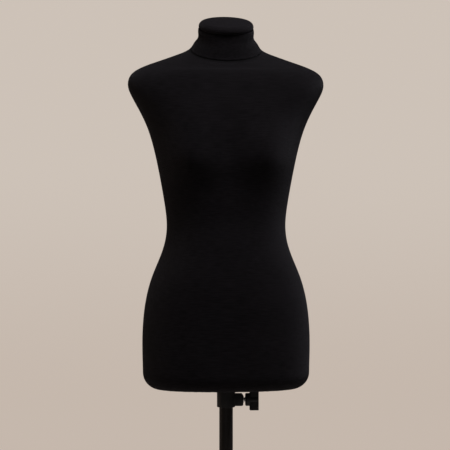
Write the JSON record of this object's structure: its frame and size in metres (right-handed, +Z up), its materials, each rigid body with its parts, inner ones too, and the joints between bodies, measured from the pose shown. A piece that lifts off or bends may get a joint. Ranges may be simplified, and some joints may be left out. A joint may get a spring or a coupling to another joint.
{
  "type": "dress form mannequin",
  "caption": "Jersey-covered female torso form without arms on a height-adjustable column with a screw clamp and a folding tripod base.",
  "frame": {"origin": "on the floor under the column's axis", "axes": "+Z up along the column, -Y the way the form faces, +X towards the upper clamp's knob"},
  "size_m": [0.6006, 0.5202, 1.3596],
  "materials": {
    "black_jersey": "fine matt knit",
    "shell_plastic": "moulded, unpainted",
    "elastic": "woven over",
    "board": "black stained",
    "zinc_steel": "bright zinc",
    "black_steel": "satin powder coat",
    "black_plastic": "fine moulded texture",
    "brass": "turned",
    "rubber": "matt"
  },
  "bodies": {
    "column": {"column_tube": "black_steel", "tube_end_cap": "black_plastic", "clamp_body": "black_plastic", "clamp_pin": "zinc_steel", "clamp_insert": "brass", "lower_hub": "black_plastic", "hub_rivet": "zinc_steel"},
    "clamp_carriage": {"clamp_shoe": "brass", "clamp_washer": "zinc_steel"},
    "clamp_screw": {"clamp_bolt": "zinc_steel", "clamp_knob": "black_plastic"},
    "mast": {"mast_tube": "black_steel", "mast_top_plug": "black_plastic", "mast_bush": "black_plastic"},
    "torso": {"torso_shell": "shell_plastic", "body_cover": "black_jersey", "neck_cover": "black_jersey", "neck_cap": "black_jersey", "hem_elastic": "elastic", "base_board": "board", "socket_flange": "black_steel", "socket_tube": "black_steel", "flange_screws": "zinc_steel"},
    "collar": {"leg_collar": "black_plastic", "leg_pins": "zinc_steel", "collar_insert": "brass"},
    "collar_carriage": {"collar_shoe": "brass", "collar_washer": "zinc_steel"},
    "collar_screw": {"collar_bolt": "zinc_steel", "collar_knob": "black_plastic"},
    "leg_back": {"leg_back": "black_steel", "foot_back": "rubber", "brace_pin_back": "zinc_steel"},
    "brace_back": {"brace_back": "black_steel", "slot_pin_back": "zinc_steel"},
    "leg_front_left": {"leg_front_left": "black_steel", "foot_front_left": "rubber", "brace_pin_front_left": "zinc_steel"},
    "brace_front_left": {"brace_front_left": "black_steel", "slot_pin_front_left": "zinc_steel"},
    "leg_front_right": {"leg_front_right": "black_steel", "foot_front_right": "rubber", "brace_pin_front_right": "zinc_steel"},
    "brace_front_right": {"brace_front_right": "black_steel", "slot_pin_front_right": "zinc_steel"}
  },
  "joints": [
    {"name": "height_slide", "type": "slide", "parent": "column", "child": "mast", "axis": [0, 0, 1], "range_m": [0, 0.3]},
    {"name": "torso_turn", "type": "hinge", "parent": "mast", "child": "torso", "pos_m": [0, 0, 0.66], "axis": [0, 0, 1], "continuous": true},
    {"name": "clamp_travel", "type": "slide", "parent": "column", "child": "clamp_carriage", "axis": [1, 0, 0], "range_m": [0, 0.00187]},
    {"name": "clamp_knob_turn", "type": "hinge", "parent": "clamp_carriage", "child": "clamp_screw", "pos_m": [0.0317, 0, 0.6385], "axis": [1, 0, 0], "range_deg": [-0.02, 540.02]},
    {"name": "tripod_fold", "type": "slide", "parent": "column", "child": "collar", "axis": [0, 0, 1], "range_m": [0, 0.12679]},
    {"name": "lock_travel", "type": "slide", "parent": "collar", "child": "collar_carriage", "axis": [0.866, 0.5, 0], "range_m": [0, 0.00187]},
    {"name": "lock_knob_turn", "type": "hinge", "parent": "collar_carriage", "child": "collar_screw", "pos_m": [0.02745, 0.01585, 0.24249], "axis": [0.866, 0.5, 0], "range_deg": [-0.02, 540.02]},
    {"name": "leg_back_swing", "type": "hinge", "parent": "collar", "child": "leg_back", "pos_m": [0, 0.026, 0.21749], "axis": [-1, 0, 0], "range_deg": [-0.01, 50.01]},
    {"name": "brace_back_swing", "type": "hinge", "parent": "leg_back", "child": "brace_back", "pos_m": [0, 0.14887, 0.13145], "axis": [-1, 0, 0], "range_deg": [-100.02, 0.02]},
    {"name": "leg_front_left_swing", "type": "hinge", "parent": "collar", "child": "leg_front_left", "pos_m": [-0.02252, -0.013, 0.21749], "axis": [0.5, -0.866, 0], "range_deg": [-0.01, 50.01]},
    {"name": "brace_front_left_swing", "type": "hinge", "parent": "leg_front_left", "child": "brace_front_left", "pos_m": [-0.12893, -0.07444, 0.13145], "axis": [0.5, -0.866, 0], "range_deg": [-100.02, 0.02]},
    {"name": "leg_front_right_swing", "type": "hinge", "parent": "collar", "child": "leg_front_right", "pos_m": [0.02252, -0.013, 0.21749], "axis": [0.5, 0.866, 0], "range_deg": [-0.01, 50.01]},
    {"name": "brace_front_right_swing", "type": "hinge", "parent": "leg_front_right", "child": "brace_front_right", "pos_m": [0.12893, -0.07444, 0.13145], "axis": [0.5, 0.866, 0], "range_deg": [-100.02, 0.02]}
  ],
  "couplings": [
    {"joint": "clamp_knob_turn", "follows": "clamp_travel", "rad_per_m": 5026.5},
    {"joint": "lock_knob_turn", "follows": "lock_travel", "rad_per_m": 5026.5},
    {"joint": "leg_back_swing", "follows": "tripod_fold", "rad_per_m": 6.883},
    {"joint": "brace_back_swing", "follows": "tripod_fold", "rad_per_m": -13.766},
    {"joint": "leg_front_left_swing", "follows": "tripod_fold", "rad_per_m": 6.883},
    {"joint": "brace_front_left_swing", "follows": "tripod_fold", "rad_per_m": -13.766},
    {"joint": "leg_front_right_swing", "follows": "tripod_fold", "rad_per_m": 6.883},
    {"joint": "brace_front_right_swing", "follows": "tripod_fold", "rad_per_m": -13.766}
  ]
}
